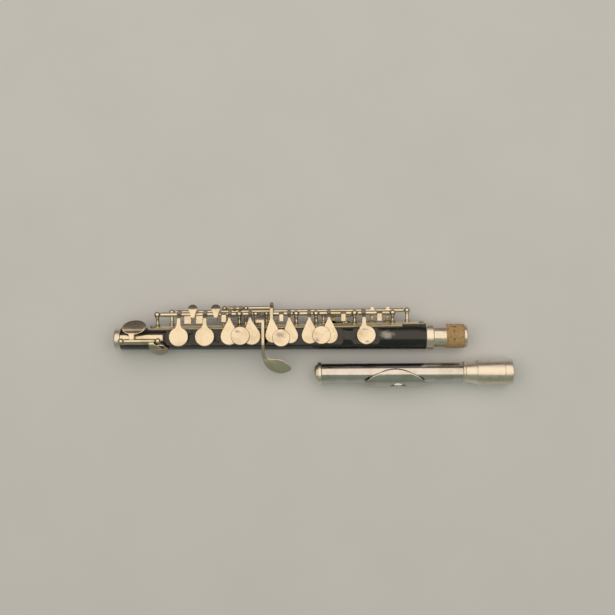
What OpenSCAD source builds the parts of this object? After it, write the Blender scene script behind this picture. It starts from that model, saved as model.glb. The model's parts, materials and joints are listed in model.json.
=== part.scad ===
// Piccolo with its head joint drawn off and laid beside the body, ready to be put together.
// The bore runs along X from the foot end. The hinge rods are on the +Y side, the tone holes on top.

/* [Body] */
// Outer radius of the body at the foot end
foot_r = 6.6; // [6.4:0.1:6.8]
// Outer radius of the body at the tenon ring
shoulder_r = 8.1; // [7.9:0.1:8.2]
// Distance from the foot end to the tenon ring
body_l = 190.6; // [190.2:0.1:191]
// Bore radius at the foot end
foot_bore_r = 4.4; // [4.3:0.1:4.5]
// Length of the straight stretch of bore at the foot end
foot_bore_l = 12; // [10:1:14]
// Bore radius at the tenon
tenon_bore_r = 5.4; // [5.3:0.05:5.5]
// Radius of the metal foot ring
foot_ring_r = 6.9; // [6.85:0.05:7.1]
// Length of the metal foot ring
foot_ring_l = 4.2; // [3.8:0.1:4.2]

/* [Tenon] */
// Radius of the ring at the root of the tenon, which the body rests on
ring_r = 8.55; // [8.4:0.05:8.7]
// Length of that ring
ring_l = 4.9; // [4.5:0.1:5.2]
// Radius of the bare metal of the tenon
tenon_r = 7.3; // [7.2:0.05:7.35]
// Radius of the cork band
cork_r = 7.35; // [7.3:0.01:7.4]
// Length of the cork band
cork_l = 11; // [10:0.5:11.5]

/* [Keys] */
// Radius of the steel hinge rods
rod_r = 0.8; // [0.75:0.05:0.85]
// Radial play between a hinge tube and its rod
play = 0.06; // [0.04:0.01:0.08]
// Radius of the hinge tubes of the main stack
tube_r = 1.4; // [1.3:0.05:1.45]
// Radius of the hinge tubes of the trill, thumb and lower G keys
small_tube_r = 1.2; // [1.15:0.05:1.25]
// Radius of the balls on the main posts
ball_r = 1.9; // [1.8:0.05:1.95]
// Height of a pad cup
cup_h = 1.6; // [1.5:0.05:1.7]
// Thickness of a pad
pad_t = 1.5; // [1.4:0.05:1.55]
// How far an open pad stands off its tone hole
lift = 1.3; // [1.1:0.1:1.4]

/* [Head joint] */
// Distance between the axes of the body and the head joint
head_gap = 22.2; // [22:0.1:24]
// Outer radius of the head tube
head_r = 6; // [5.9:0.05:6.05]
// Bore radius of the head tube
head_bore_r = 5.5; // [5.4:0.05:5.5]
// Bore radius of the socket that takes the tenon
socket_r = 7.45; // [7.43:0.01:7.47]
// Depth of the socket
socket_l = 20; // [19:0.5:21]
// Radius of the bead round the mouth of the socket, which the head joint rests on
bead_r = 8.2; // [8.1:0.05:8.3]
// Length of the lip plate
plate_l = 37.2; // [36:0.1:38]
// Angle of the middle of the lip plate from the top, towards the player
plate_tilt = 60; // [58:1:62]
// Angle of the embouchure hole from the top, towards the player
hole_tilt = 84; // [82:1:86]
// Length of the embouchure hole along the tube
hole_l = 9.8; // [9.4:0.1:10.2]
// Width of the embouchure hole across the tube
hole_w = 8.2; // [7.8:0.1:8.4]

/* [Hidden] */
$fn = 64;

// Colours
silver = [0.87, 0.84, 0.77];
steel = [0.72, 0.72, 0.74];
resin = [0.06, 0.06, 0.065];
cork = [0.68, 0.5, 0.33];
felt = [0.9, 0.87, 0.78];

// Taper of the body, and radius at a distance from the foot end
taper_x0 = 5;
taper_x1 = body_l;
function body_r(x) = foot_r + (shoulder_r - foot_r) * (x - taper_x0) / (taper_x1 - taper_x0);
tenon_end = body_l + ring_l + 7.6 + cork_l + 1.9;
cork_x = body_l + ring_l + 7.6;

// Where the hinge rods run, as [y, z] from the bore axis
stack_rod = [14.4, 4.1];
trill_rod_at = [16.1, 1.0];
lower_g_rod_at = [18.5, -3.0];
thumb_rod_at = [13.6, -0.2];
dsharp_rod_at = [-2.0, 9.8];
trill_steel_r = 0.65;
small_rod_r = 0.65;

// Where each tone hole is along the bore, and the radius of the cup over it
dsharp_x = 28.1;
d_x = 40.3;
e_x = 56.1;
f_x = 71.1;
fsharp_x = 84.7;
lower_g_x = 97.5;
gsharp_x = 97;
upper_g_x = 108.2;
a_x = 119.9;
bflat_x = 131.8;
thumb_x = 141.7;
c_x = 154;
short_trill_x = 158.2;
long_trill_x = 167.8;
big_cup_r = 5.9;
f_cup_r = 5.4;
g_cup_r = 4.7;
a_cup_r = 5.1;
c_cup_r = 5.8;
dsharp_cup_r = 5.6;
back_cup_r = 4.2;
thumb_cup_r = 4;

// Angles of the tone holes that are not on top, from +Z towards +Y
back_angle = 117;
thumb_angle = 112;
dsharp_angle = -61;

// Finger touches that stand over the gap between two cups
f_touch_x = 77.8;
g_touch_x = 102.5;
a_touch_x = 126.9;
g_touch_y = -1.5;
touch_gap = 0.3;

// Pads and cups: the seat is a little below the body's highest line
seat_drop = 0.45;
pad_proud = 0.5;
cup_top = pad_proud + cup_h;
rise = cup_top - seat_drop;
function cup_z(x) = body_r(x) + rise;
chimney_share = 0.74;
hole_share = 0.5;

// Angles by which the open keys stand off their holes
open_angle = lift / stack_rod[0] * 180 / PI;
lower_g_open = lift / lower_g_rod_at[0] * 180 / PI;
thumb_open = 7;

// Ribs that carry the posts
// Gap left for solder or glue between metal parts that lie on each other
solder = 0.03;
rib_t = 0.8;
rib_x0 = 21.4;
rib_x1 = 176.3;
rib_from = 44;
rib_to = 100;
end_rib_x0 = 176.6;
end_rib_x1 = 189.6;
saddle_x0 = 4.3;
saddle_x1 = 30.5;
saddle_t = 0.7;

// Where the posts stand
stack_post_xs = [26.8, 76.9, 111.6, 123.8, 147.3, 170.5];
gsharp_post_xs = [86.9, 93.6];
trill_post_xs = [35.4, 179.6];
lower_g_post_xs = [67.4, 80.5];
thumb_post_xs = [128.4, 147.3];
dsharp_post_xs = [5.6, 27.8];
small_ball_r = 1.5;
thumb_ball_r = 1.45;
dsharp_ball_r = 1.8;

// Head joint
head_axis = [-head_gap, bead_r - ring_r];
crown_x0 = 121.6;
head_x0 = 126.8;
tube_end = 222;
receiver_x0 = 213;
mouth_x = tube_end + 1.4 + socket_l;
plate_x = 171.4;
embouchure_x = 173.4;
plate_offset = -1.1;
plate_in_r = 8.8;
plate_out_r = 9.4;
plate_half_w = 8.4;
stopper_x = embouchure_x - 7.5;
stopper_l = 12;
screw_r = 1.2;

// The part's frame: centred on its outline, standing on its tenon ring and socket bead
hook_reach = 21.4;
hook_crest = 1.0;
far_y = lower_g_rod_at[0] + (hook_reach - lower_g_rod_at[0]) * cos(lower_g_open)
    + (hook_crest - lower_g_rod_at[1]) * sin(lower_g_open);
near_y = -head_gap - max(bead_r, plate_out_r + plate_offset * sin(plate_tilt));
shift = [-mouth_x / 2, -(far_y + near_y) / 2, ring_r];

// Curve from a to c that leaves and arrives along the lines through b
function bend(a, b, c, n = 10) =
    [for (i = [0 : n]) let (t = i / n) a * pow(1 - t, 2) + 2 * b * t * (1 - t) + c * pow(t, 2)];
function oval(a, b, n = 48) = [for (i = [0 : n - 1]) [a * cos(360 * i / n), b * sin(360 * i / n)]];
// Point at an angle from +Z towards +Y, and a distance from the bore axis
function around(angle, d) = [d * sin(angle), d * cos(angle)];

module placed() translate(shift) children();

// Turns a profile of [radius, x] points about the bore axis
module turned(points) rotate([0, 90, 0]) rotate_extrude() polygon(points);

// The same, over part of a turn only, between two angles from +Z towards +Y
module strap(points, from, to) {
    rotate([0, 90, 0])
        rotate([0, 0, 180 - to])
            rotate_extrude(angle = to - from) polygon(points);
}

// Pushes a flat [y, z] outline along X, centred on x
module slab(x, w, points)
    translate([x - w / 2, 0, 0]) rotate([90, 0, 90]) linear_extrude(w) polygon(points);

// Round bar along X at [y, z]
module bar_x(x0, x1, r, at) translate([x0, at[0], at[1]]) rotate([0, 90, 0]) cylinder(h = x1 - x0, r = r);

// Round bar through a list of points, with a ball at each
module bent_bar(points, r) {
    for (i = [1 : len(points) - 1]) {
        d = points[i] - points[i - 1];
        translate(points[i - 1])
            rotate([0, acos(d[2] / norm(d)), atan2(d[1], d[0])])
                cylinder(h = norm(d), r = r);
    }
    for (p = points) translate(p) sphere(r + 0.06);
}

// Stands its children on the body at x, turned from the top by an angle
module on_body(x, angle) translate([x, 0, 0]) rotate([-angle, 0, 0]) children();

// Turns its children about a hinge rod, positive closing a cup on top
module swung(at, angle)
    translate([0, at[0], at[1]])
        rotate([angle, 0, 0])
            translate([0, -at[0], -at[1]]) children();

// Solid taper of the body, thicker by extra
module body_core(extra) {
    turned([[0, 0], [body_r(0) + extra, 0], [body_r(body_l) + extra, body_l], [0, body_l]]);
}

// ---------- Body ----------

// Every tone hole as [x, angle, cup radius]
holes = [
    [dsharp_x, dsharp_angle, dsharp_cup_r],
    [d_x, 0, big_cup_r],
    [e_x, 0, big_cup_r],
    [f_x, 0, f_cup_r],
    [fsharp_x, 0, f_cup_r],
    [lower_g_x, 0, g_cup_r],
    [upper_g_x, 0, g_cup_r],
    [a_x, 0, a_cup_r],
    [bflat_x, 0, a_cup_r],
    [c_x, 0, c_cup_r],
    [gsharp_x, back_angle, back_cup_r],
    [thumb_x, thumb_angle, thumb_cup_r],
    [short_trill_x, back_angle, back_cup_r],
    [long_trill_x, back_angle, back_cup_r]
];
spot_r = 8.8;
spot_depth = 1.7;
spot_edge_y = 5.4;
back_spot_depth = 0.7;
back_spot_share = 0.95;

module chimney(h) on_body(h[0], h[1]) cylinder(h = body_r(h[0]) - seat_drop, r = h[2] * chimney_share);

// Flat ring cut round each hole on top, up to the edge of the rib
module spot_faces() {
    intersection() {
        union() for (h = holes) if (h[1] == 0)
            translate([h[0], 0, body_r(h[0]) - spot_depth]) cylinder(h = 6, r = spot_r);
        translate([0, spot_edge_y - 20, 0]) cube([body_l, 20, 20]);
    }
    for (h = holes) if (h[1] != 0)
        on_body(h[0], h[1])
            translate([0, 0, body_r(h[0]) - back_spot_depth]) cylinder(h = 3, r = h[2] * back_spot_share);
}

foot_spigot_r = 5.6;
foot_lip = 0.8;
spigot_r = 6.6;
spigot_end = cork_x - 0.4;
cork_t = 0.5;

module body_tube() placed() color(resin) difference() {
    union() {
        difference() {
            turned([
                [0, foot_lip],
                [foot_spigot_r, foot_lip],
                [foot_spigot_r, foot_ring_l],
                [body_r(foot_ring_l), foot_ring_l],
                [body_r(body_l), body_l],
                [spigot_r, body_l],
                [spigot_r, spigot_end],
                [0, spigot_end]
            ]);
            spot_faces();
        }
        for (h = holes) chimney(h);
    }
    turned([
        [0, 0],
        [foot_bore_r, 0],
        [foot_bore_r, foot_lip + foot_bore_l],
        [tenon_bore_r, body_l],
        [tenon_bore_r, spigot_end + 1],
        [0, spigot_end + 1]
    ]);
    for (h = holes) on_body(h[0], h[1]) cylinder(h = 12, r = h[2] * hole_share);
}

module foot_ring() placed() color(silver) turned(concat(
    [[foot_spigot_r, foot_ring_l], [foot_spigot_r, foot_lip]],
    [[foot_bore_r + 0.05, foot_lip], [foot_bore_r + 0.05, 0.3]],
    bend([foot_bore_r + 0.3, 0], [foot_ring_r, 0], [foot_ring_r, 1.6], 8),
    [[foot_ring_r, foot_ring_l - 0.5], [foot_ring_r - 0.25, foot_ring_l]]
));

module tenon_sleeve() placed() color(silver) {
    band_x0 = body_l + ring_l;
    lip_x0 = cork_x + cork_l;
    turned(concat(
        [[spigot_r, body_l], [ring_r - 0.5, body_l]],
        bend([ring_r - 0.3, body_l + 0.15], [ring_r, body_l + 0.3], [ring_r, body_l + 0.9], 4),
        bend([ring_r, band_x0 - 0.9], [ring_r, band_x0 - 0.1], [ring_r - 0.6, band_x0], 4),
        [[tenon_r, band_x0], [tenon_r, cork_x], [cork_r - cork_t, cork_x]],
        [[cork_r - cork_t, lip_x0], [cork_r - 0.2, lip_x0]],
        bend([cork_r - 0.2, tenon_end - 1.1], [cork_r - 0.2, tenon_end], [cork_r - 0.9, tenon_end], 5),
        [[tenon_bore_r, tenon_end], [tenon_bore_r, spigot_end], [spigot_r, spigot_end]]
    ));
}

module tenon_cork() placed() color(cork) turned([
    [cork_r - cork_t, cork_x],
    [cork_r, cork_x],
    [cork_r, cork_x + cork_l],
    [cork_r - cork_t, cork_x + cork_l]
]);

// ---------- Ribs, posts and rods ----------

function strap_profile(x0, x1, t) = [
    [body_r(x0) + solder, x0],
    [body_r(x0) + t, x0],
    [body_r(x1) + t, x1],
    [body_r(x1) + solder, x1]
];
rib_screw_r = 0.7;
rib_screw_head_r = 1.5;
rib_screw_angle = 68;
// Screws of the two ribs as [x]
rib_screw_xs = [23.6, 188.1];
end_rib_from = 60;
end_rib_to = 96;

module rib_screw_cut() for (x = rib_screw_xs) on_body(x, rib_screw_angle) cylinder(h = 14, r = rib_screw_r);

module main_rib() placed() color(silver) difference() {
    strap(strap_profile(rib_x0, rib_x1, rib_t), rib_from, rib_to);
    rib_screw_cut();
    for (h = holes) if (h[1] > 0) chimney_room(h);
}

// Room round a chimney on the back for the edge of its cup
module chimney_room(h) {
    on_body(h[0], h[1]) translate([0, 0, body_r(h[0]) - 1]) cylinder(h = 4, r = h[2] + 0.25);
}

module end_rib() placed() color(silver) difference() {
    strap(strap_profile(end_rib_x0, end_rib_x1, rib_t), end_rib_from, end_rib_to);
    rib_screw_cut();
}

module rib_screws() placed() color(steel) for (x = rib_screw_xs)
    on_body(x, rib_screw_angle) difference() {
        union() {
            translate([0, 0, body_r(x) + 0.03]) cylinder(h = rib_t + 0.2, r = rib_screw_r - solder);
            translate([0, 0, body_r(x) + rib_t + 0.02]) cylinder(h = 0.6, r = rib_screw_head_r);
        }
        translate([-rib_screw_head_r, -0.15, body_r(x) + rib_t + 0.3]) cube([rib_screw_head_r * 2, 0.3, 1]);
    }

// Post with a flange, two beads and a ball, drilled for its rod at [y, z], standing on a rib
module post(x, at, ball, hole_r, column = 1.05) {
    d = norm(at);
    foot = body_r(x) - 0.4;
    difference() {
        on_body(x, atan2(at[0], at[1])) {
            rotate_extrude() polygon([
                [0, foot],
                [column + 0.7, foot],
                [column + 0.7, foot + 1.5],
                [column + 0.1, foot + 1.75],
                [column + 0.45, foot + 2.15],
                [column + 0.45, foot + 2.6],
                [column, foot + 3.0],
                [column, d - ball - 0.5],
                [column + 0.3, d - ball - 0.1],
                [column + 0.3, d - ball + 0.2],
                [column - 0.1, d - ball + 0.6],
                [column - 0.1, d],
                [0, d]
            ]);
            translate([0, 0, d]) sphere(ball);
        }
        body_core(rib_t + solder);
        bar_x(x - 4, x + 4, hole_r, at);
    }
}

module stack_posts() placed() color(silver) {
    for (x = stack_post_xs) post(x, stack_rod, ball_r, rod_r);
    for (x = gsharp_post_xs) post(x, stack_rod, small_ball_r, rod_r, 0.85);
    post(thumb_post_xs[1], thumb_rod_at, thumb_ball_r, small_rod_r, 0.9);
}

module trill_posts() placed() color(silver) for (x = trill_post_xs)
    post(x, trill_rod_at, ball_r - 0.1, trill_steel_r + play);

// These stand below the rib's edge, on small saddles of their own
module lower_g_posts() placed() color(silver) for (x = lower_g_post_xs) {
    post(x, lower_g_rod_at, small_ball_r + 0.1, small_rod_r);
    strap(strap_profile(x - 2.2, x + 2.2, rib_t), rib_to, rib_to + 12);
}

module thumb_post() placed() color(silver)
    post(thumb_post_xs[0], thumb_rod_at, thumb_ball_r, small_rod_r, 0.9);

module dsharp_saddle() placed() color(silver) difference() {
    strap(strap_profile(saddle_x0, saddle_x1, saddle_t), -34, 16);
    on_body(dsharp_x, dsharp_angle) cylinder(h = 12, r = dsharp_cup_r + 0.15);
}

module dsharp_posts() placed() color(silver) for (x = dsharp_post_xs) difference() {
    on_body(x, atan2(dsharp_rod_at[0], dsharp_rod_at[1])) {
        cylinder(h = body_r(x) + saddle_t + 0.4, r = 1.75);
        cylinder(h = norm(dsharp_rod_at), r = 1.1);
        translate([0, 0, norm(dsharp_rod_at)]) sphere(dsharp_ball_r);
    }
    body_core(saddle_t + solder);
    bar_x(x - 4, x + 4, rod_r, dsharp_rod_at);
}

// Steel rod with a screwdriver slot in its left end
module steel_rod(x0, x1, r, at) difference() {
    bar_x(x0, x1, r, at);
    translate([x0 - 1, at[0] - 0.15, at[1] - 2]) cube([1.4, 0.3, 4]);
}

module dsharp_rod() placed() color(steel)
    steel_rod(dsharp_post_xs[0] - dsharp_ball_r, dsharp_post_xs[1] + dsharp_ball_r, rod_r, dsharp_rod_at);

module lower_stack_rod() placed() color(steel)
    steel_rod(stack_post_xs[0] - ball_r, gsharp_post_xs[0] + small_ball_r, rod_r, stack_rod);

module upper_stack_rod() placed() color(steel)
    steel_rod(gsharp_post_xs[0] + small_ball_r + 0.1, stack_post_xs[5] + ball_r, rod_r, stack_rod);

module lower_g_rod() placed() color(steel)
    steel_rod(lower_g_post_xs[0] - small_ball_r - 0.1, 97.9, small_rod_r, lower_g_rod_at);

module thumb_rod() placed() color(steel)
    steel_rod(thumb_post_xs[0] - small_ball_r, thumb_post_xs[1] + small_ball_r, small_rod_r, thumb_rod_at);

// Needle springs as [post x, end x, y]: each leaves its post and runs along X beside the tubes
spring_r = 0.22;
spring_slope = stack_rod[1] / stack_rod[0];
post_skin = 1.05;
springs = [
    [26.8, 44.6, 10.3],
    [76.9, 58.2, 11.4],
    [76.9, 65.5, 9.9],
    [111.6, 99.5, 10.3],
    [123.8, 115.4, 11.2],
    [123.8, 138.2, 10.2],
    [147.3, 133.5, 11.4],
    [147.3, 156.4, 10.5],
    [170.5, 160.4, 11.2]
];
module needle_springs() placed() color(steel) for (s = springs) {
    at = [s[2], s[2] * spring_slope];
    if (s[1] > s[0]) bar_x(s[0] + post_skin, s[1], spring_r, at);
    else bar_x(s[1], s[0] - post_skin, spring_r, at);
}

// ---------- Shapes shared by the keys ----------

// Cup of a key, hollow below to hold its pad, with its seat at z = 0
module cup(r) rotate_extrude() polygon(concat(
    [[0, pad_t], [r - 0.4, pad_t], [r - 0.4, pad_proud], [r, pad_proud]],
    bend([r, cup_top - 0.5], [r, cup_top], [r - 0.5, cup_top], 5),
    [[0, cup_top]]
));

module pad(r) color(felt) rotate_extrude() polygon([
    [0, 0],
    [r - 0.75, 0],
    [r - 0.42, 0.3],
    [r - 0.42, pad_t - 0.02],
    [0, pad_t - 0.02]
]);

// Room inside a cup for its pad
module pocket(x, angle, r) {
    on_body(x, angle) translate([0, 0, body_r(x) - seat_drop - 1]) cylinder(h = 1 + pad_t, r = r - 0.4);
}

module cup_at(x, angle, r) on_body(x, angle) translate([0, 0, body_r(x) - seat_drop]) cup(r);
module pad_at(x, angle, r) on_body(x, angle) translate([0, 0, body_r(x) - seat_drop]) pad(r);

// Side outline of an arm from the top of a cup over the stack rod to a point beyond it
arm_t = 1.3;
function arm_side(z) = concat(
    [[-1, z - 0.05]],
    bend([8.6, z - 0.05], [13.2, z + 0.1], [17.5, 3.3], 12),
    [[16.6, 3.2]],
    bend([13.2, 4.4], [12.6, z - arm_t], [8.0, z - arm_t], 10),
    [[-1, z - arm_t]]
);

// Plan outline of an arm that widens into a teardrop over a cup of radius r, d aside from it
teardrop_l = 9.5;
function teardrop_plan(r, w, d) = let (
    turn = asin((r - w / 2) / teardrop_l),
    c = cos(turn),
    s = sin(turn)
) [
    [-r * c, r * s],
    [d - w / 2 * c, teardrop_l + w / 2 * s],
    [d - w / 2, 20],
    [d + w / 2, 20],
    [d + w / 2 * c, teardrop_l + w / 2 * s],
    [r * c, r * s],
    [0, -r * 0.6]
];

// Plan outline of a straight arm that flares at the edge of its cup, d aside from it
flare = 2.6;
function flared_plan(r, w, d) = concat(
    [[0, r * 0.3]],
    bend([d - w / 2 - flare / 2 - 0.6, r * 0.8], [d - w / 2, r * 0.95], [d - w / 2, r + 3], 6),
    [[d - w / 2, 20], [d + w / 2, 20]],
    bend([d + w / 2, r + 3], [d + w / 2, r * 0.95], [d + w / 2 + flare / 2 + 0.6, r * 0.8], 6)
);

// Arm cut from its side outline by its plan outline
module shaped_arm(x, side, plan) intersection() {
    slab(x, 16, side);
    translate([x, 0, -10]) linear_extrude(30) polygon(plan);
}

// Key on the stack rod: cup, arm and hinge tube, drilled for the rod
module stack_key(x, r, x0, x1, plan) difference() {
    union() {
        cup_at(x, 0, r);
        shaped_arm(x, arm_side(cup_z(x)), plan);
        bar_x(x0, x1, tube_r, stack_rod);
        children();
    }
    bar_x(x0 - 1, x1 + 1, rod_r + play, stack_rod);
    pocket(x, 0, r);
}

// Flat lug that reaches inwards from a stack tube, where another key bears on it
lug_t = 1;
module lug(x, w, y0, top = 6.5) slab(x, w, concat(
    [[y0, top - lug_t], [y0, top]],
    bend([12.6, top], [14.4, top], [15.4, 4.6], 6),
    [[13.4, 3.6], [12.6, top - lug_t]]
));

// Shallow dished disc that a finger rests on, with its underside at z = 0
touch_t = 1.5;
module dish(r) rotate_extrude() polygon(concat(
    [[0, 0], [r - 0.8, 0]],
    bend([r - 0.3, 0.35], [r, 0.5], [r, 0.95], 4),
    bend([r, 1.05], [r, touch_t], [r - 0.5, touch_t], 4),
    bend([r - 0.6, touch_t], [r * 0.55, 1.2], [0, 1.18], 8)
));

// Touch centred at [x, y] on a short boss that stands on the cup of the key at cup_x
module touch_at(x, y, r, boss_x, cup_x) {
    z = cup_z(x) + touch_gap;
    translate([x, y, z]) dish(r);
    translate([boss_x, y * 0.6, cup_z(cup_x)]) cylinder(h = z - cup_z(cup_x) + 0.3, r = 1.3);
}

module stack_open() swung(stack_rod, -open_angle) children();

// ---------- Keys of the main stack ----------

// Hinge tube of each key on the stack rod, as [x0, x1]
d_tube = [28.8, 47.9];
e_tube = [48.1, 62.9];
f_tube = [63.1, 74.9];
fsharp_tube = [78.9, 85.3];
gsharp_tube = [88.5, 92.0];
upper_g_tube = [95.2, 109.6];
a_tube = [113.6, 121.8];
bflat_tube = [125.8, 145.3];
c_tube = [149.3, 168.5];
wide_arm = 2.4;
slim_arm = 2.1;

module d_key() placed() color(silver) stack_open()
    stack_key(d_x, big_cup_r, d_tube[0], d_tube[1], flared_plan(big_cup_r, wide_arm, 0))
        lug(45.5, 4.6, 8.5, 4.9);
module d_pad() placed() stack_open() pad_at(d_x, 0, big_cup_r);

module e_key() placed() color(silver) stack_open()
    stack_key(e_x, big_cup_r, e_tube[0], e_tube[1], flared_plan(big_cup_r, wide_arm, 0))
        lug(52.5, 4.6, 8.5, 4.9);
module e_pad() placed() stack_open() pad_at(e_x, 0, big_cup_r);

module f_key() placed() color(silver) stack_open()
    stack_key(f_x, f_cup_r, f_tube[0], f_tube[1], teardrop_plan(f_cup_r, slim_arm, 0)) lug(67.5, 3, 9);
module f_pad() placed() stack_open() pad_at(f_x, 0, f_cup_r);
module f_touch() placed() color(silver) stack_open() touch_at(f_touch_x, 0, 5.7, 74.4, f_x);

module fsharp_key() placed() color(silver) stack_open()
    stack_key(fsharp_x, f_cup_r, fsharp_tube[0], fsharp_tube[1], teardrop_plan(f_cup_r, slim_arm, -1.1));
module fsharp_pad() placed() stack_open() pad_at(fsharp_x, 0, f_cup_r);

module upper_g_key() placed() color(silver) stack_open()
    stack_key(upper_g_x, g_cup_r, upper_g_tube[0], upper_g_tube[1], teardrop_plan(g_cup_r, slim_arm, -0.8))
        lug(102.6, 2.6, 9.2);
module upper_g_pad() placed() stack_open() pad_at(upper_g_x, 0, g_cup_r);
module g_touch() placed() color(silver) stack_open() touch_at(g_touch_x, g_touch_y, 5.4, 105.5, upper_g_x);

module a_key() placed() color(silver) stack_open()
    stack_key(a_x, a_cup_r, a_tube[0], a_tube[1], teardrop_plan(a_cup_r, slim_arm, -0.3));
module a_pad() placed() stack_open() pad_at(a_x, 0, a_cup_r);
module a_touch() placed() color(silver) stack_open() touch_at(a_touch_x, 0, 5.6, 123.2, a_x);

module bflat_key() placed() color(silver) stack_open()
    stack_key(bflat_x, a_cup_r, bflat_tube[0], bflat_tube[1], teardrop_plan(a_cup_r, slim_arm, -0.2))
        lug(140.4, 3, 9);
module bflat_pad() placed() stack_open() pad_at(bflat_x, 0, a_cup_r);

module c_key() placed() color(silver) stack_open()
    stack_key(c_x, c_cup_r, c_tube[0], c_tube[1], flared_plan(c_cup_r, wide_arm, -1.2)) lug(162.4, 3, 9);
module c_pad() placed() stack_open() pad_at(c_x, 0, c_cup_r);

// ---------- Side keys ----------

// Plan outline of the G sharp touch: it leaves the arm, swells towards its pointed end and returns
function gsharp_touch_plan() = concat(
    bend([92.3, -9.5], [92.6, -12.9], [95.8, -13.2], 6),
    bend([96.6, -13.2], [102.4, -13.0], [105.4, -15.6], 8),
    bend([106.2, -16.1], [109.9, -18.9], [107.5, -20.5], 6),
    bend([106.7, -20.9], [102.6, -22.9], [98.4, -21.3], 8),
    bend([97.6, -21.0], [90.8, -18.2], [90.5, -9.5], 8)
);
gsharp_arm_x = 91.4;
gsharp_arm_w = 1.9;
gsharp_arm_top = 10.6;

// Side outline of the G sharp lever, from the hinge over the body to the far edge of its touch
function gsharp_side() = concat(
    bend([15.6, 4.6], [13.6, 8.6], [7.6, 10.3], 8),
    bend([4.5, gsharp_arm_top], [-4.0, gsharp_arm_top], [-11, 6.9], 10),
    bend([-13, 5.9], [-18.4, 4.4], [-22.8, 1.6], 8),
    bend([-22.8, 0.7], [-18.2, 3.2], [-13, 4.6], 8),
    bend([-10.6, 5.4], [-4.4, 9.3], [2.8, 9.3], 10),
    bend([6.6, 9.2], [12.4, 7.4], [13.2, 4.6], 8)
);

function box_plan(x0, x1, y0, y1) = [[x0, y0], [x1, y0], [x1, y1], [x0, y1]];
module gsharp_piece(plan) intersection() {
    slab(100, 30, gsharp_side());
    translate([0, 0, -10]) linear_extrude(30) polygon(plan);
}

module gsharp_key() placed() color(silver) difference() {
    union() {
        bar_x(gsharp_tube[0], gsharp_tube[1], tube_r, stack_rod);
        slab(90.25, 2.9, [[13.1, 3.9], [15.5, 4.6], [14.4, 6.2], [12.6, 7.6], [12.2, 6.2]]);
        gsharp_piece(gsharp_touch_plan());
        gsharp_piece(box_plan(gsharp_arm_x - gsharp_arm_w / 2, gsharp_arm_x + gsharp_arm_w / 2, -12, 15.8));
        gsharp_piece(box_plan(87.3, 92.4, 8.5, 12.7));
        cup_at(gsharp_x, back_angle, back_cup_r);
        bent_bar([
            [90.2, stack_rod[0] - 0.3, stack_rod[1] - 1.1],
            [90.2, 12.3, 0.2],
            [94.8, 10.4, -1.6],
            concat([gsharp_x], around(back_angle, cup_z(gsharp_x) - 0.3))
        ], 0.8);
    }
    bar_x(gsharp_tube[0] - 2, gsharp_tube[1] + 2, rod_r + play, stack_rod);
    pocket(gsharp_x, back_angle, back_cup_r);
}
module gsharp_pad() placed() pad_at(gsharp_x, back_angle, back_cup_r);

// Side outline of the lower G key: its gooseneck rises outside the other rods and comes over them
function gooseneck_side(z) = concat(
    [[-1, z - 0.05]],
    bend([8.6, z - 0.05], [20.8, z + 0.6], [hook_reach, 2.2], 12),
    bend([hook_reach, hook_crest], [hook_reach, -2.4], [19.6, -4.0], 6),
    [[17.6, -3.4], [18.2, -1.9]],
    bend([19.2, -1.0], [20.4, 0.6], [19.7, 2.6], 6),
    bend([19.4, 3.6], [18.4, z - arm_t], [8.0, z - arm_t], 10),
    [[-1, z - arm_t]]
);
lower_g_tube = [82.2, 97.7];
lower_g_arm_x = 96.7;

module lower_g_key() placed() color(silver) swung(lower_g_rod_at, -lower_g_open) difference() {
    union() {
        cup_at(lower_g_x, 0, g_cup_r);
        shaped_arm(
            lower_g_x,
            gooseneck_side(cup_z(lower_g_x)),
            teardrop_plan(g_cup_r, slim_arm, lower_g_arm_x - lower_g_x)
        );
        slab(lower_g_arm_x, 2, gooseneck_foot());
        bar_x(lower_g_tube[0], lower_g_tube[1], small_tube_r, lower_g_rod_at);
    }
    bar_x(lower_g_tube[0] - 1, lower_g_tube[1] + 1, small_rod_r + play, lower_g_rod_at);
    pocket(lower_g_x, 0, g_cup_r);
}
function gooseneck_foot() = concat(
    bend([19.5, 3.3], [hook_reach, 3.0], [hook_reach, hook_crest + 0.1], 6),
    bend([hook_reach, hook_crest - 0.1], [hook_reach, -2.4], [19.6, -4.0], 6),
    [[17.6, -3.4], [18.2, -1.9]],
    bend([19.2, -1.0], [20.4, 0.6], [19.7, 2.6], 6)
);
module lower_g_pad() placed() swung(lower_g_rod_at, -lower_g_open) pad_at(lower_g_x, 0, g_cup_r);

// Link of the split E mechanism: a tube with two fingers, beside the lower G key
split_e_tube = [69.2, 78.7];
split_e_fingers = [73.9, 77.6];
module split_e_link() placed() color(silver) difference() {
    union() {
        bar_x(split_e_tube[0], split_e_tube[1], small_tube_r, lower_g_rod_at);
        for (x = split_e_fingers) slab(x, 1.7, concat(
            bend([17.7, -2.2], [19.6, 1.0], [17.2, 3.4], 6),
            bend([18.2, 3.9], [20.9, 1.2], [19.5, -3.6], 6)
        ));
    }
    bar_x(split_e_tube[0] - 1, split_e_tube[1] + 1, small_rod_r + play, lower_g_rod_at);
}

// Arm from a rod at [y, z] to the top of a cup on the back, with a pointed tip beyond the rod
module back_arm(x, w, at, angle, tip) {
    top = around(angle, cup_z(x) - 0.1);
    under = around(angle, cup_z(x) - 1.1);
    side = [sin(angle + 90), cos(angle + 90)];
    slab(x, w, concat(
        bend(top + side * 1.2, top - side * 2.4 + [0.8, -0.4], at + [0.9, -1.0], 8),
        [at + tip, at + [-0.6, 1.0]],
        bend(at + [-1.2, 0.2], under - side * 3.4, under + side * 1.2, 8)
    ));
}

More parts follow.
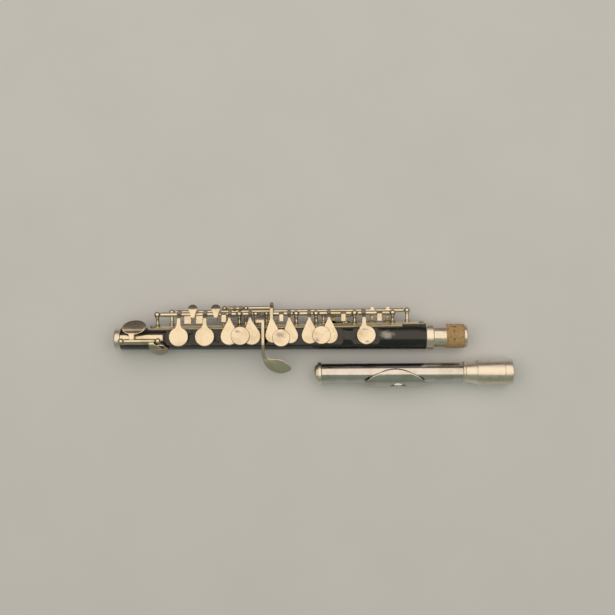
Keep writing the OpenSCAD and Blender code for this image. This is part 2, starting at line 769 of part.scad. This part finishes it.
module thumb_key() placed() color(silver) swung(thumb_rod_at, thumb_open) difference() {
    union() {
        cup_at(thumb_x, thumb_angle, thumb_cup_r);
        back_arm(thumb_x, 2.2, thumb_rod_at, thumb_angle, [1.0, 0.2]);
        bar_x(thumb_post_xs[0] + 1.6, thumb_post_xs[1] - 1.6, small_tube_r, thumb_rod_at);
        back_arm(134.6, 2.2, thumb_rod_at, thumb_angle + 4, [1.0, 0.2]);
        on_body(133.6, thumb_angle + 6) translate([0, 0, cup_z(133.6) - 0.2])
            linear_extrude(1.1) polygon(oval(5.4, 2.7));
    }
    bar_x(thumb_post_xs[0], thumb_post_xs[1], small_rod_r + play, thumb_rod_at);
    pocket(thumb_x, thumb_angle, thumb_cup_r);
}
module thumb_pad() placed() swung(thumb_rod_at, thumb_open) pad_at(thumb_x, thumb_angle, thumb_cup_r);

// Paddle that a finger presses to open a trill key: it stands on the trill tube and leans over the stack
trill_tip = [2.2, 1.5];
module trill_paddle(x) {
    intersection() {
        slab(x, 8, concat(
            [[9.4, 7.1], [9.4, 7.9]],
            bend([11.5, 8.7], [16.0, 10.3], [20.6, 6.3], 10),
            bend([20.2, 5.6], [16.0, 8.7], [12.0, 7.1], 8)
        ));
        translate([x, 17.6, 0]) linear_extrude(12) union() {
            polygon(oval(2.9, 2.7));
            polygon(concat(
                bend([-0.8, -8.4], [-1.2, -4.6], [-2.4, -1.2], 4),
                bend([2.4, -1.2], [1.2, -4.6], [0.8, -8.4], 4)
            ));
        }
    }
    slab(x, 2.2, concat(
        bend([19.4, 6.8], [20.3, 2.6], [16.9, 0.2], 8),
        [[15.6, 1.4], [16.2, 2.1]],
        bend([17.0, 2.3], [18.2, 4.4], [17.2, 7.6], 8)
    ));
}

short_trill_touch_x = 62.8;
long_trill_touch_x = 48.8;
short_trill_tube = [61.1, 160.4];
long_trill_left = [37.4, 60.9];
long_trill_right = [160.6, 177.6];

module short_trill_key() placed() color(silver) difference() {
    union() {
        bar_x(short_trill_tube[0], short_trill_tube[1], small_tube_r, trill_rod_at);
        trill_paddle(short_trill_touch_x);
        cup_at(short_trill_x, back_angle, back_cup_r);
        back_arm(short_trill_x, 2.2, trill_rod_at, back_angle, trill_tip);
    }
    bar_x(short_trill_tube[0] - 1, short_trill_tube[1] + 1, trill_steel_r + play, trill_rod_at);
    pocket(short_trill_x, back_angle, back_cup_r);
}
module short_trill_pad() placed() pad_at(short_trill_x, back_angle, back_cup_r);

module long_trill_key() placed() color(silver) difference() {
    union() {
        for (t = [long_trill_left, long_trill_right]) bar_x(t[0], t[1], small_tube_r, trill_rod_at);
        trill_paddle(long_trill_touch_x);
        cup_at(long_trill_x, back_angle, back_cup_r);
        back_arm(long_trill_x, 2.2, trill_rod_at, back_angle, trill_tip);
    }
    bar_x(trill_post_xs[0], trill_post_xs[1], trill_steel_r, trill_rod_at);
    pocket(long_trill_x, back_angle, back_cup_r);
}
module long_trill_pad() placed() pad_at(long_trill_x, back_angle, back_cup_r);
module trill_rod() placed() color(steel)
    bar_x(trill_post_xs[0] - ball_r, trill_post_xs[1] + ball_r, trill_steel_r, trill_rod_at);

// D sharp key: a tube over the body, an oval touch on the far side and a cup on the near side
dsharp_touch_x = 13.4;
dsharp_tube = [7.6, 25.8];
module dsharp_key() placed() color(silver) difference() {
    union() {
        bar_x(dsharp_tube[0], dsharp_tube[1], tube_r, dsharp_rod_at);
        intersection() {
            slab(dsharp_touch_x, 15, concat(
                bend([-2, 11.1], [1.2, 12.3], [3.4, 10.9], 6),
                bend([4.2, 10.5], [8.6, 8.6], [11.4, 6.2], 6),
                bend([10.9, 5.4], [3.2, 10.6], [-2, 9.6], 10)
            ));
            translate([dsharp_touch_x, 6.5, 0]) linear_extrude(14) union() {
                rotate(6) polygon(oval(7.3, 4.5));
                translate([-2.7, -8.5]) polygon([[0, 0], [2.8, 0], [3.4, 6.5], [-0.6, 6.5]]);
            }
        }
        cup_at(dsharp_x, dsharp_angle, dsharp_cup_r);
        intersection() {
            slab(25.4, 12, concat(
                bend([-1.2, 10.8], [-7.8, 11.6], around(dsharp_angle - 2, cup_z(dsharp_x) - 0.05), 10),
                bend(around(dsharp_angle + 4, cup_z(dsharp_x) - 1.0), [-6.6, 9.2], [-2.6, 8.8], 10)
            ));
            translate([0, -12, 0]) linear_extrude(14) polygon([
                [22.4, 14],
                [22.4, 6],
                [23.4, 3],
                [31, 2.6],
                [31, 5.2],
                [28.2, 6.8],
                [25.7, 8.1],
                [25.7, 14]
            ]);
        }
    }
    bar_x(0, 34, rod_r + play, dsharp_rod_at);
    pocket(dsharp_x, dsharp_angle, dsharp_cup_r);
}
module dsharp_pad() placed() pad_at(dsharp_x, dsharp_angle, dsharp_cup_r);

// ---------- Head joint ----------

module at_head() placed() translate([0, head_axis[0], head_axis[1]]) children();
// Stands its children on the head tube in line with the middle of the lip plate
module on_lip(x) translate([x, 0, 0]) rotate([plate_tilt, 0, 0]) children();

// Round bar along the lip plate's own axis, as far as reach on either side of its middle
module lip_bar(reach, r) on_lip(plate_x) translate([0, 0, plate_offset]) bar_x(-reach, reach, r, [0, 0]);

// Straight-sided oval through the tube, in line with the embouchure hole
module embouchure(extra) translate([embouchure_x, 0, 0]) rotate([hole_tilt, 0, 0])
    linear_extrude(12) polygon(oval(hole_l / 2 + extra, hole_w / 2 + extra));

module head_tube() at_head() color(silver) difference() {
    bar_x(head_x0, tube_end, head_r, [0, 0]);
    bar_x(head_x0 - 1, tube_end + 1, head_bore_r, [0, 0]);
    embouchure(0);
}

module receiver() at_head() color(silver) turned(concat(
    [[head_r, receiver_x0], [head_r + 0.35, receiver_x0], [head_r + 0.6, receiver_x0 + 0.3]],
    [[head_r + 0.6, receiver_x0 + 1.3], [head_r + 0.3, receiver_x0 + 1.8]],
    bend([head_r + 0.35, receiver_x0 + 2.4], [head_r + 0.6, tube_end - 1.5], [bead_r - 0.35, tube_end], 8),
    [[bead_r - 0.35, mouth_x - 5.2], [bead_r - 0.1, mouth_x - 5.0]],
    bend([bead_r, mouth_x - 4.6], [bead_r, mouth_x], [socket_r + 0.25, mouth_x], 8),
    [[socket_r, mouth_x - 0.2], [socket_r, tube_end + 1.4], [head_bore_r, tube_end + 1.4]],
    [[head_bore_r, tube_end], [head_r, tube_end]]
));

module lip_plate() at_head() color(silver) difference() {
    intersection() {
        difference() {
            lip_bar(plate_l, plate_out_r);
            lip_bar(plate_l + 1, plate_in_r);
        }
        on_lip(plate_x) linear_extrude(12) polygon(oval(plate_l / 2, plate_half_w));
    }
    bar_x(100, 240, head_r, [0, 0]);
    embouchure(0);
}

module riser() at_head() color(silver) difference() {
    intersection() {
        embouchure(1.3);
        lip_bar(plate_l, plate_in_r);
    }
    bar_x(100, 240, head_r, [0, 0]);
    embouchure(0);
}

crown_plug_l = 4;
crown_flange_r = 6.9;
module crown() at_head() color(silver) difference() {
    turned(concat(
        bend([0, crown_x0], [4.8, crown_x0], [5.6, crown_x0 + 2.5], 8),
        [[5.6, crown_x0 + 2.8], [crown_flange_r - 0.3, crown_x0 + 2.8]],
        bend(
            [crown_flange_r, crown_x0 + 3.2],
            [crown_flange_r + 0.1, crown_x0 + 4],
            [crown_flange_r, head_x0 - 0.4],
            4
        ),
        [[crown_flange_r - 0.3, head_x0 - 0.05], [head_bore_r - 0.05, head_x0 - 0.05]],
        [[head_bore_r - 0.05, head_x0 + crown_plug_l], [0, head_x0 + crown_plug_l]]
    ));
    bar_x(crown_x0 + 1.6, head_x0 + crown_plug_l + 1, screw_r + play, [0, 0]);
}

module stopper_cork() at_head() color(cork) difference() {
    bar_x(stopper_x - stopper_l, stopper_x - 0.8, head_bore_r - 0.04, [0, 0]);
    bar_x(stopper_x - stopper_l - 1, stopper_x, screw_r, [0, 0]);
}

// Threaded rod with the reflecting plate on its end, and the washer and nut that hold the cork
module stopper_screw() at_head() color(silver) {
    bar_x(crown_x0 + 2.4, stopper_x, screw_r, [0, 0]);
    bar_x(stopper_x - 0.8, stopper_x, head_bore_r - 0.08, [0, 0]);
    bar_x(stopper_x - stopper_l - 0.8, stopper_x - stopper_l, head_bore_r - 0.3, [0, 0]);
    translate([stopper_x - stopper_l - 2, 0, 0]) rotate([0, 90, 0]) cylinder(h = 1.2, r = 2.4, $fn = 6);
}

body_tube();
foot_ring();
tenon_sleeve();
tenon_cork();
main_rib();
end_rib();
rib_screws();
stack_posts();
trill_posts();
lower_g_posts();
thumb_post();
dsharp_saddle();
dsharp_posts();
dsharp_rod();
lower_stack_rod();
upper_stack_rod();
lower_g_rod();
thumb_rod();
needle_springs();
dsharp_key();
dsharp_pad();
d_key();
d_pad();
e_key();
e_pad();
f_key();
f_pad();
f_touch();
fsharp_key();
fsharp_pad();
gsharp_key();
gsharp_pad();
lower_g_key();
lower_g_pad();
upper_g_key();
upper_g_pad();
g_touch();
a_key();
a_pad();
a_touch();
bflat_key();
bflat_pad();
c_key();
c_pad();
thumb_key();
thumb_pad();
short_trill_key();
short_trill_pad();
long_trill_key();
long_trill_pad();
trill_rod();
split_e_link();
head_tube();
receiver();
lip_plate();
riser();
crown();
stopper_cork();
stopper_screw();
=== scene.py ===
"""Looks for the piccolo: materials, softened edges, plain studio light and the camera.

Every piece is a CAD node, and everything here is in metres.
"""

import json
import math

import bpy
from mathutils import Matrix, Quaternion, Vector


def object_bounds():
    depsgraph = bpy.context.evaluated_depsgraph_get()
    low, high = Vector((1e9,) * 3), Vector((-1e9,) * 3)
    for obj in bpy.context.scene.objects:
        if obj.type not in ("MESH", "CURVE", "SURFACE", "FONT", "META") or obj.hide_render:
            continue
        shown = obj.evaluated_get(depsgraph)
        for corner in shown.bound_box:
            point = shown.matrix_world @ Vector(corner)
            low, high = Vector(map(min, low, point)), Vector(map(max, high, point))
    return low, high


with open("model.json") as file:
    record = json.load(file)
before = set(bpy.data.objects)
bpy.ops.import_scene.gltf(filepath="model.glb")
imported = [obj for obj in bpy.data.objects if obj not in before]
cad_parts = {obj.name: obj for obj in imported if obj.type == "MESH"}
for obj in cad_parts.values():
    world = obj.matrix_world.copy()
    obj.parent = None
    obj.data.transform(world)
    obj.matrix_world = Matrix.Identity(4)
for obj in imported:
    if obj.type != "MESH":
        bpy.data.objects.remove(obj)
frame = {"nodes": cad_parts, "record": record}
cad_box = [list(corner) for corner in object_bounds()]

MM = 0.001

# CAD corners closer than the weld gap are joined, then every sharp edge is broken
WELD_GAP = 0.002 * MM
EDGE_WIDTH = 0.12 * MM
EDGE_SEGMENTS = 2
EDGE_ANGLE = math.radians(35)

# Forged pieces get a fine new skin, which is then rubbed down
SKIN_GRAIN = 0.17 * MM
RUB_STRENGTH = 0.5
RUB_PASSES = 7

# Height of the bumps in each material
SCRATCH_DEPTH = 0.02 * MM
RING_DEPTH = 0.02 * MM
RESIN_GRAIN_DEPTH = 0.04 * MM
SKIN_WRINKLE_DEPTH = 0.05 * MM
CORK_PORE_DEPTH = 0.12 * MM

TABLE_HALF = 2.0
TABLE_GAP = 0.02 * MM

BLACK = (0, 0, 0)
WHITE = (1, 1, 1)


# ---------- Node helpers ----------

def new_material(name):
    """An empty node material with its Principled shader, and its node tree."""
    mat = bpy.data.materials.new(name)
    mat.use_nodes = True
    tree = mat.node_tree
    tree.nodes.clear()
    out = tree.nodes.new("ShaderNodeOutputMaterial")
    shader = tree.nodes.new("ShaderNodeBsdfPrincipled")
    tree.links.new(shader.outputs["BSDF"], out.inputs["Surface"])
    return mat, tree, shader


def grey(level):
    return (level, level, level)


def place(tree, stretch=(1, 1, 1)):
    """Object coordinates, stretched along an axis by less than 1 or squeezed by more."""
    coords = tree.nodes.new("ShaderNodeTexCoord")
    mapping = tree.nodes.new("ShaderNodeMapping")
    mapping.inputs["Scale"].default_value = stretch
    tree.links.new(coords.outputs["Object"], mapping.inputs["Vector"])
    return mapping.outputs["Vector"]


def noise(tree, vector, scale, detail=4.0, rough=0.55):
    node = tree.nodes.new("ShaderNodeTexNoise")
    node.inputs["Scale"].default_value = scale
    node.inputs["Detail"].default_value = detail
    node.inputs["Roughness"].default_value = rough
    tree.links.new(vector, node.inputs["Vector"])
    return node.outputs["Fac"]


def ramp(tree, value, stops):
    """Colours along a value: stops are (position, colour)."""
    node = tree.nodes.new("ShaderNodeValToRGB")
    elements = node.color_ramp.elements
    while len(elements) < len(stops):
        elements.new(0.5)
    for element, (position, colour) in zip(elements, stops):
        element.position = position
        element.color = (*colour, 1)
    tree.links.new(value, node.inputs["Fac"])
    return node.outputs["Color"]


def spread(tree, value, low, high, start=0.3, end=0.7):
    """Maps a value from start..end to low..high."""
    node = tree.nodes.new("ShaderNodeMapRange")
    node.inputs["From Min"].default_value = start
    node.inputs["From Max"].default_value = end
    node.inputs["To Min"].default_value = low
    node.inputs["To Max"].default_value = high
    tree.links.new(value, node.inputs["Value"])
    return node.outputs["Result"]


def mix(tree, factor, a, b, kind="MIX"):
    """Mixes two colours, each a socket or a colour, by a factor, a socket or a number."""
    node = tree.nodes.new("ShaderNodeMix")
    node.data_type = "RGBA"
    node.blend_type = kind
    for name, value in (("Factor", factor), ("A", a), ("B", b)):
        socket = node.inputs[name]
        if isinstance(value, bpy.types.NodeSocket):
            tree.links.new(value, socket)
        else:
            socket.default_value = (*value, 1) if isinstance(value, tuple) else value
    return node.outputs["Result"]


def vector_step(tree, operation, vector, by=None):
    """One vector math node on a socket, with a fixed second vector where it takes one."""
    node = tree.nodes.new("ShaderNodeVectorMath")
    node.operation = operation
    tree.links.new(vector, node.inputs[0])
    if by is not None:
        node.inputs[1].default_value = by
    return node


def bump(tree, shader, height, strength, distance):
    node = tree.nodes.new("ShaderNodeBump")
    node.inputs["Strength"].default_value = strength
    node.inputs["Distance"].default_value = distance
    tree.links.new(height, node.inputs["Height"])
    tree.links.new(node.outputs["Normal"], shader.inputs["Normal"])


# ---------- Materials ----------

def reflection_and_mark_patch(tree, at, size):
    """Soft ragged patch of a given size round a point, used for painted reflections and for marks."""
    coords = tree.nodes.new("ShaderNodeTexCoord")
    away = vector_step(tree, "SUBTRACT", coords.outputs["Object"], at)
    scaled = vector_step(tree, "DIVIDE", away.outputs["Vector"], size)
    length = vector_step(tree, "LENGTH", scaled.outputs["Vector"])
    ragged = tree.nodes.new("ShaderNodeMath")
    ragged.operation = "ADD"
    tree.links.new(length.outputs["Value"], ragged.inputs[0])
    raggedness = noise(tree, place(tree), scale=330, detail=5, rough=0.6)
    tree.links.new(spread(tree, raggedness, -0.45, 0.45), ragged.inputs[1])
    return ramp(tree, ragged.outputs["Value"], [(0.2, grey(0.8)), (1.05, BLACK)])


def painted_shade_by_lean(tree, shade):
    """Painted shade: grey that is full on flat faces and falls to shade on leaning ones."""
    coords = tree.nodes.new("ShaderNodeTexCoord")
    split = tree.nodes.new("ShaderNodeSeparateXYZ")
    tree.links.new(coords.outputs["Normal"], split.inputs["Vector"])
    flat = tree.nodes.new("ShaderNodeMath")
    flat.operation = "ABSOLUTE"
    tree.links.new(split.outputs["Z"], flat.inputs[0])
    upright_shade = shade + 0.15
    stops = [(0.0, grey(upright_shade)), (0.62, grey(shade)), (0.95, WHITE)]
    return ramp(tree, flat.outputs["Value"], stops)


def plate(name, bright, dull, rough, haze, shade, marks=()):
    """Silver plate: tarnish clouds, hazy patches, painted shade on leaning faces, patches of painted
    reflection and marks, and scratches.
    """
    mat, tree, shader = new_material(name)
    here = place(tree)
    clouds = noise(tree, here, scale=95, detail=6, rough=0.6)
    tint = ramp(tree, clouds, [(0.30, dull), (0.52, bright), (0.75, bright)])
    specks = noise(tree, here, scale=420, detail=5, rough=0.7)
    spots = ramp(tree, specks, [(0.60, BLACK), (0.78, grey(haze))])
    # Tarnish tint and haze spots, darkened on leaning faces by painted shade
    patina_and_shade = mix(tree, 1.0, mix(tree, spots, tint, dull), painted_shade_by_lean(tree, shade), "MULTIPLY")
    # Purple grey of the patches: painted reflections on the touches, marks on the C cup
    reflection_and_mark_grey = (0.36, 0.31, 0.31)
    for at, size in marks:
        patina_and_shade = mix(tree, reflection_and_mark_patch(tree, at, size), patina_and_shade, reflection_and_mark_grey)
    tree.links.new(patina_and_shade, shader.inputs["Base Color"])
    polish = noise(tree, here, scale=180, detail=5)
    tree.links.new(spread(tree, polish, *rough), shader.inputs["Roughness"])
    scratches = noise(tree, place(tree, (0.08, 1, 1)), scale=5200, detail=2)
    bump(tree, shader, scratches, 0.06, SCRATCH_DEPTH)
    shader.inputs["Metallic"].default_value = 1.0
    return mat


def black_resin():
    """Black resin body: satin gloss, faint grain along the bore and one pale patch of painted
    reflection.
    """
    mat, tree, shader = new_material("black_resin")
    grain = noise(tree, place(tree, (0.03, 1, 1)), scale=900, detail=5, rough=0.65)
    tint = ramp(tree, grain, [(0.3, grey(0.003)), (0.7, (0.007, 0.007, 0.0065))])
    # Pale patch on the body's top: a painted reflection
    painted_body_reflection = reflection_and_mark_patch(tree, (0.0448, 0.0052, 0.0166), (0.0058, 0.0026, 0.02))
    tree.links.new(mix(tree, painted_body_reflection, tint, (0.52, 0.52, 0.50)), shader.inputs["Base Color"])
    haze = noise(tree, place(tree), scale=60, detail=5, rough=0.6)
    tree.links.new(spread(tree, haze, 0.17, 0.31), shader.inputs["Roughness"])
    bump(tree, shader, grain, 0.12, RESIN_GRAIN_DEPTH)
    shader.inputs["Specular IOR Level"].default_value = 0.8
    return mat


def cork_material():
    """Cork: pressed tan grains, dark pits and rough pores."""
    mat, tree, shader = new_material("cork")
    here = place(tree)
    grains = tree.nodes.new("ShaderNodeTexVoronoi")
    grains.inputs["Scale"].default_value = 900
    tree.links.new(here, grains.inputs["Vector"])
    tans = [(0.25, (0.40, 0.25, 0.11)), (0.5, (0.56, 0.38, 0.19)), (0.8, (0.66, 0.47, 0.26))]
    tone = ramp(tree, noise(tree, here, scale=520, detail=6, rough=0.7), tans)
    cells = ramp(tree, grains.outputs["Distance"], [(0.0, grey(0.62)), (0.6, grey(0.42))])
    grain_tone = mix(tree, 0.5, tone, cells, "OVERLAY")
    hollows = noise(tree, here, scale=760, detail=2, rough=0.4)
    pits = ramp(tree, hollows, [(0.64, BLACK), (0.67, WHITE)])
    pit_brown = (0.035, 0.016, 0.006)
    tree.links.new(mix(tree, pits, grain_tone, pit_brown), shader.inputs["Base Color"])
    shader.inputs["Roughness"].default_value = 0.82
    pores = noise(tree, here, scale=1100, detail=6, rough=0.7)
    bump(tree, shader, pores, 0.5, CORK_PORE_DEPTH)
    return mat


def pad_material():
    """Skin over felt: cream with a faint sheen and wrinkles."""
    mat, tree, shader = new_material("pad_skin")
    here = place(tree)
    creams = [(0.3, (0.62, 0.52, 0.36)), (0.7, (0.82, 0.75, 0.60))]
    tone = ramp(tree, noise(tree, here, scale=300, detail=5), creams)
    tree.links.new(tone, shader.inputs["Base Color"])
    sheen = noise(tree, here, scale=500, detail=4)
    tree.links.new(spread(tree, sheen, 0.45, 0.65), shader.inputs["Roughness"])
    bump(tree, shader, noise(tree, here, scale=1500, detail=4), 0.25, SKIN_WRINKLE_DEPTH)
    return mat


def steel_material():
    """Turned steel rods and springs: fine rings and a little oil stain."""
    mat, tree, shader = new_material("spring_steel")
    rings = noise(tree, place(tree, (1, 0.05, 0.05)), scale=6000, detail=3)
    stain = noise(tree, place(tree), scale=220, detail=4)
    tone = ramp(tree, stain, [(0.3, (0.36, 0.34, 0.31)), (0.6, (0.56, 0.55, 0.53))])
    tree.links.new(tone, shader.inputs["Base Color"])
    tree.links.new(spread(tree, rings, 0.2, 0.36), shader.inputs["Roughness"])
    bump(tree, shader, rings, 0.1, RING_DEPTH)
    shader.inputs["Metallic"].default_value = 1.0
    return mat


# Patches on the touches, painted reflections, and marks on the C cup: where each is, and its size
TOUCH_REFLECTIONS_AND_MARKS = (
    ((-0.0453, 0.0079, 0.02), (0.0024, 0.0011, 0.02)),
    ((-0.0194, 0.0054, 0.02), (0.0042, 0.0021, 0.02)),
    ((0.0026, 0.0020, 0.02), (0.0017, 0.0017, 0.02)),
    ((0.0318, 0.0084, 0.02), (0.0028, 0.0008, 0.02)),
    ((0.0331, 0.0009, 0.02), (0.0016, 0.0008, 0.02)),
)

# The silvers: two tints, roughness from polished to dull, strength of the haze spots and painted
# shade of leaning faces
SILVERS = {
    "silver_plate": dict(bright=(0.88, 0.79, 0.61), dull=(0.68, 0.57, 0.40),
                         rough=(0.09, 0.22), haze=0.3, shade=0.42),
    # Touches and C cup: the key silver with patches of painted reflection and marks
    "silver_with_reflections_and_marks": dict(bright=(0.88, 0.79, 0.63), dull=(0.68, 0.57, 0.42),
                           rough=(0.09, 0.22), haze=0.3, shade=0.42, marks=TOUCH_REFLECTIONS_AND_MARKS),
    # Ribs: a lighter tint than the key silver, painted light, and no painted shade on leaning faces
    "rib_silver_painted_bright": dict(bright=(0.96, 0.87, 0.64), dull=(0.84, 0.73, 0.50),
                       rough=(0.42, 0.55), haze=0.3, shade=1.0),
    # Rings, receiver and crown: a lighter tint than the key silver, painted light, with a satin
    # roughness
    "ring_silver_painted_bright": dict(bright=(0.94, 0.88, 0.77), dull=(0.80, 0.72, 0.58),
                        rough=(0.24, 0.38), haze=0.3, shade=0.8),
    # Head: a darker, cooler tint than the key silver, painted shade
    "head_silver": dict(bright=(0.78, 0.76, 0.73), dull=(0.67, 0.63, 0.56),
                        rough=(0.09, 0.22), haze=0.2, shade=0.65),
}

MATERIALS = {name: plate(name, **look) for name, look in SILVERS.items()}
MATERIALS["black_resin"] = black_resin()
MATERIALS["cork"] = cork_material()
MATERIALS["pad_skin"] = pad_material()
MATERIALS["spring_steel"] = steel_material()

# Nodes whose surface differs from the rest of their slot
SURFACES = {
    "f_touch": "silver_with_reflections_and_marks",
    "g_touch": "silver_with_reflections_and_marks",
    "a_touch": "silver_with_reflections_and_marks",
    "c_key": "silver_with_reflections_and_marks",
    "main_rib": "rib_silver_painted_bright",
    "end_rib": "rib_silver_painted_bright",
    "foot_ring": "ring_silver_painted_bright",
    "tenon_sleeve": "ring_silver_painted_bright",
    "receiver": "ring_silver_painted_bright",
    "crown": "ring_silver_painted_bright",
}


# ---------- CAD nodes ----------

def dress(node, surface):
    """Gives a CAD node its material, smooth shading and softly broken edges."""
    obj = frame["nodes"][node]
    obj.data.materials.clear()
    obj.data.materials.append(MATERIALS[surface])
    for polygon in obj.data.polygons:
        polygon.use_smooth = True
    weld = obj.modifiers.new("weld", "WELD")
    weld.merge_threshold = WELD_GAP
    bevel = obj.modifiers.new("soft_edges", "BEVEL")
    bevel.width = EDGE_WIDTH
    bevel.segments = EDGE_SEGMENTS
    bevel.limit_method = "ANGLE"
    bevel.angle_limit = EDGE_ANGLE
    bevel.harden_normals = True
    bevel.use_clamp_overlap = True


def soften(node):
    """Rounds a piece's edges as if it were forged, in place of the broken edges."""
    obj = frame["nodes"][node]
    obj.modifiers.clear()
    remesh = obj.modifiers.new("skin", "REMESH")
    remesh.mode = "VOXEL"
    remesh.voxel_size = SKIN_GRAIN
    remesh.use_smooth_shade = True
    smooth = obj.modifiers.new("round_edges", "SMOOTH")
    smooth.factor = RUB_STRENGTH
    smooth.iterations = RUB_PASSES


for row in frame["record"]["subparts"]:
    dress(row["node"], SURFACES.get(row["node"], row["material_slot"]))
    if row["node"].endswith(("_key", "_touch")) or row["node"] == "lip_plate":
        soften(row["node"])


# ---------- Studio ----------

def studio_floor():
    """Plain pale table under the object."""
    mat, tree, shader = new_material("pale_table")
    pales = [(0.3, (0.74, 0.79, 0.86)), (0.7, (0.77, 0.82, 0.89))]
    tone = ramp(tree, noise(tree, place(tree), scale=14, detail=3), pales)
    tree.links.new(tone, shader.inputs["Base Color"])
    shader.inputs["Roughness"].default_value = 0.6
    half = TABLE_HALF
    corners = [(-half, -half, 0), (half, -half, 0), (half, half, 0), (-half, half, 0)]
    mesh = bpy.data.meshes.new("table_top")
    mesh.from_pydata(corners, [], [(0, 1, 2, 3)])
    mesh.materials.append(mat)
    top = bpy.data.objects.new("table_top", mesh)
    bpy.context.scene.collection.objects.link(top)
    top.location.z = cad_box[0][2] - TABLE_GAP


def ceiling_box():
    """Wide warm soft box overhead, a little to the far side, facing straight down."""
    data = bpy.data.lights.new("ceiling_box", "AREA")
    data.shape = "RECTANGLE"
    data.size, data.size_y = 2.4, 1.8
    data.energy = 12.0
    data.color = (1.0, 0.84, 0.67)
    light = bpy.data.objects.new("ceiling_box", data)
    light.location = (0.0, 0.40, 1.0)
    bpy.context.scene.collection.objects.link(light)


def dim_room():
    """Walls that go from grey green on the player's side to dark rose on the far side."""
    player_side, middle, far_side = (0.23, 0.27, 0.205), (0.20, 0.20, 0.17), (0.15, 0.13, 0.13)
    world = bpy.data.worlds.new("studio")
    world.use_nodes = True
    tree = world.node_tree
    coords = tree.nodes.new("ShaderNodeTexCoord")
    split = tree.nodes.new("ShaderNodeSeparateXYZ")
    tree.links.new(coords.outputs["Generated"], split.inputs["Vector"])
    across = spread(tree, split.outputs["Y"], low=0, high=1, start=-1, end=1)
    walls = ramp(tree, across, [(0.0, player_side), (0.45, middle), (1.0, far_side)])
    background = tree.nodes["Background"]
    tree.links.new(walls, background.inputs["Color"])
    background.inputs["Strength"].default_value = 1.0
    bpy.context.scene.world = world


def camera():
    """Nearly straight down, from slightly on the player's side."""
    elevation = math.radians(85)
    target = Vector((-0.0031, 0.0228, 0.009))
    distance = 0.68
    view_width = 0.378
    roll = math.radians(-0.54)
    data = bpy.data.cameras.new("camera")
    data.sensor_width = 36
    data.lens = data.sensor_width * distance / view_width
    data.clip_start = 0.01
    cam = bpy.data.objects.new("camera", data)
    back = Vector((0, -math.cos(elevation), math.sin(elevation)))
    cam.location = target + back * distance
    cam.rotation_mode = "QUATERNION"
    cam.rotation_quaternion = (-back).to_track_quat("-Z", "Y") @ Quaternion((0, 0, 1), roll)
    bpy.context.scene.collection.objects.link(cam)
    bpy.context.scene.camera = cam


studio_floor()
dim_room()
ceiling_box()
camera()
bpy.context.scene.view_settings.view_transform = "Standard"
